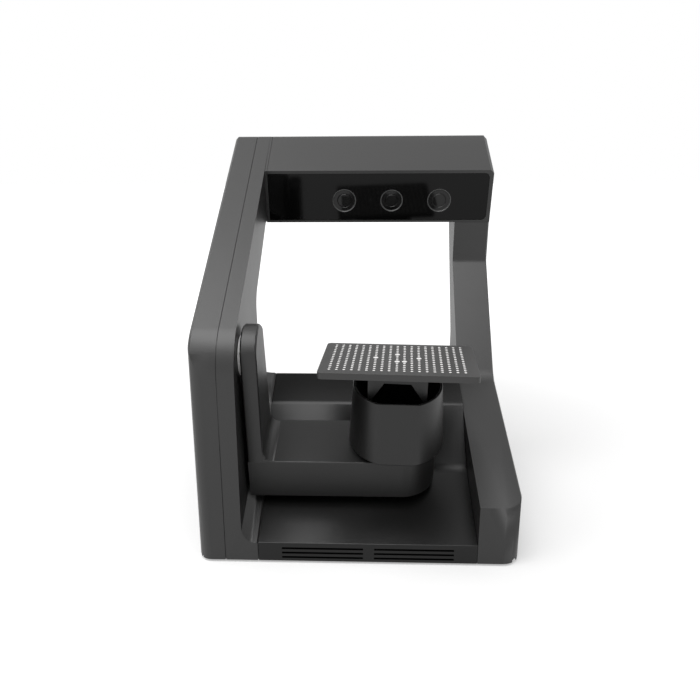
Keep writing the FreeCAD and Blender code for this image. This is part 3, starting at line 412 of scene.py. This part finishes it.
def cup():
    """Tapered cup with a flat front, hollow, its rim rounded and its lower edge broken."""
    profile = []
    for inward, height in CUP_LEVELS:
        share = (height - CUP_BASE) / (CUP_RIM - CUP_BASE)
        radius = CUP_BASE_RADIUS + share * (CUP_RIM_RADIUS - CUP_BASE_RADIUS)
        profile.append((max(radius - inward, 0.0), height))
    piece = turned(profile, CUP_SIDES, CUP_FRAME)
    for corner in piece.data.vertices:
        share = (corner.co.z / MM - CUP_BASE) / (CUP_RIM - CUP_BASE)
        ratio = CUP_BASE_FLAT + share * (CUP_RIM_FLAT - CUP_BASE_FLAT)
        flat = -ratio * math.hypot(corner.co.x, corner.co.y)
        corner.co.y = max(corner.co.y, flat)
    smooth(piece, CUP_BREAK)
    finish(piece, "cup_skin", "cup_plastic", "turntable")
    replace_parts(piece, "object_cup")


cup()


# Calibration board dots

def board_dots():
    """Light round marks in a grid, a few of them wider."""
    bpy.ops.object.select_all(action="DESELECT")
    dots = []
    for column in range(DOT_COLUMNS):
        for row in range(DOT_ROWS):
            across = DOT_SHIFT + (column - (DOT_COLUMNS - 1) / 2) * DOT_ACROSS
            place = Matrix.Translation((across, DOT_REAR - row * DOT_ALONG, BOARD_THICK / 2))
            radius = BIG_DOT_RADIUS if (column, row) in BIG_DOTS else DOT_RADIUS
            bpy.ops.mesh.primitive_cylinder_add(vertices=DOT_SIDES, radius=radius,
                                                depth=DOT_HEIGHT)
            bpy.context.object.matrix_world = BOARD_FRAME @ place
            dots.append(bpy.context.object)
    finish(joined(dots), "board_dots", "board_face", "calibration_plate",
           moulded("dot_paint", level=222, rough=0.5, grain=SHEET_GRAIN))


board_dots()


# Ports in the window

def port_pieces(name, slot, profile):
    """One turned shape at each of the three ports."""
    pieces = []
    for across, radius in PORTS:
        outline = [(max(radius + outward, 0.0), depth) for outward, depth in profile]
        place = (WINDOW_FRAME @ Matrix.Translation((across * MM, 0, PORT_DROP * MM))
                 @ Matrix.Rotation(-math.pi / 2, 4, "X"))
        pieces.append(turned(outline, PORT_SIDES, place))
    piece = joined(pieces)
    smooth(piece, PORT_BREAK)
    finish(piece, name, slot, "housing")
    return piece


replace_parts(port_pieces("port_bezels", "lens_ring", BEZEL_PROFILE), "lens_rings")
port_pieces("port_glass", "lens_glass", GLASS_PROFILE)


# Floor, light and camera

def seen_directly(material, *names):
    """1 or more for rays of the named kinds."""
    outputs = material.node("ShaderNodeLightPath").socket.node.outputs
    total = 0.0
    for name in names:
        total = total + Value(material, outputs[name])
    return total


def floor():
    """White ground that still takes the object's shadow."""
    bpy.ops.object.select_all(action="DESELECT")
    bpy.ops.mesh.primitive_plane_add(size=FLOOR_SIZE, location=(0, 0, 0))
    ground = bpy.context.object
    ground.name = "floor"
    paint = Material("pale_floor", Roughness=0.95, Specular_IOR_Level=0.0,
                     Base_Color=(FLOOR_TONE, FLOOR_TONE, FLOOR_TONE, 1.0), Emission_Strength=1.0)
    reach = paint.node("ShaderNodeVectorMath", {"operation": "LENGTH"}, paint.place(), output=1)
    glow = paint.node("ShaderNodeMath", {"operation": "MINIMUM"},
                      reach * reach * GLOW_RISE + GLOW_NEAR, 1.0)
    seen = seen_directly(paint, "Is Camera Ray", "Is Glossy Ray", "Is Transmission Ray")
    shade = glow * seen
    paint.feed(Emission_Color=paint.node("ShaderNodeCombineColor", None, shade, shade, shade))
    ground.data.materials.append(paint.made)


def world():
    """White surroundings that give less diffuse light than they show."""
    made = bpy.data.worlds.new("studio")
    bpy.context.scene.world = made
    made.use_nodes = True
    tree = made.node_tree
    background = tree.nodes["Background"]
    background.inputs["Color"].default_value = (1, 1, 1, 1)
    path = tree.nodes.new("ShaderNodeLightPath")
    level = tree.nodes.new("ShaderNodeMapRange")
    level.inputs["To Min"].default_value = SKY_DIRECT
    level.inputs["To Max"].default_value = SKY_DIFFUSE
    tree.links.new(path.outputs["Is Diffuse Ray"], level.inputs["Value"])
    tree.links.new(level.outputs[0], background.inputs["Strength"])


def area_light(name, place, aim, size, power):
    """A soft box at a place, facing its aim; metres and watts."""
    data = bpy.data.lights.new(name, "AREA")
    data.shape = "RECTANGLE"
    data.size, data.size_y = size
    data.energy = power
    lamp = bpy.data.objects.new(name, data)
    bpy.context.scene.collection.objects.link(lamp)
    lamp.location = place
    lamp.rotation_mode = "QUATERNION"
    lamp.rotation_quaternion = (Vector(aim) - Vector(place)).to_track_quat("-Z", "Y")


def camera():
    """The photograph's viewpoint."""
    across = math.cos(CAMERA_PITCH)
    ahead = Vector((-math.sin(CAMERA_YAW) * across, math.cos(CAMERA_YAW) * across,
                    -math.sin(CAMERA_PITCH)))
    level = Vector((math.cos(CAMERA_YAW), math.sin(CAMERA_YAW), 0))
    upright = level.cross(ahead)
    right = level * math.cos(CAMERA_ROLL) + upright * math.sin(CAMERA_ROLL)
    up = upright * math.cos(CAMERA_ROLL) - level * math.sin(CAMERA_ROLL)
    data = bpy.data.cameras.new("photo_camera")
    data.sensor_width = SENSOR_WIDTH
    data.lens = FOCAL_PIXELS / PICTURE_PIXELS * SENSOR_WIDTH
    data.shift_x = (PICTURE_PIXELS / 2 - CENTRE_PIXELS) / PICTURE_PIXELS
    made = bpy.data.objects.new("photo_camera", data)
    bpy.context.scene.collection.objects.link(made)
    place = Matrix.Translation((CAMERA_ACROSS, FRONT - CAMERA_DISTANCE, CAMERA_HEIGHT))
    made.matrix_world = place @ Matrix((right, up, -ahead)).transposed().to_4x4()
    bpy.context.scene.camera = made


floor()
world()
area_light("key_above", place=(-0.25, -0.35, 1.25), aim=(0, 0, 0.1), size=(1.2, 0.9), power=16.0)
area_light("left_soft", place=(-1.3, -0.9, 0.9), aim=(0, 0, 0.15), size=(0.8, 0.8), power=3.0)
camera()
bpy.context.scene.view_settings.view_transform = "Standard"
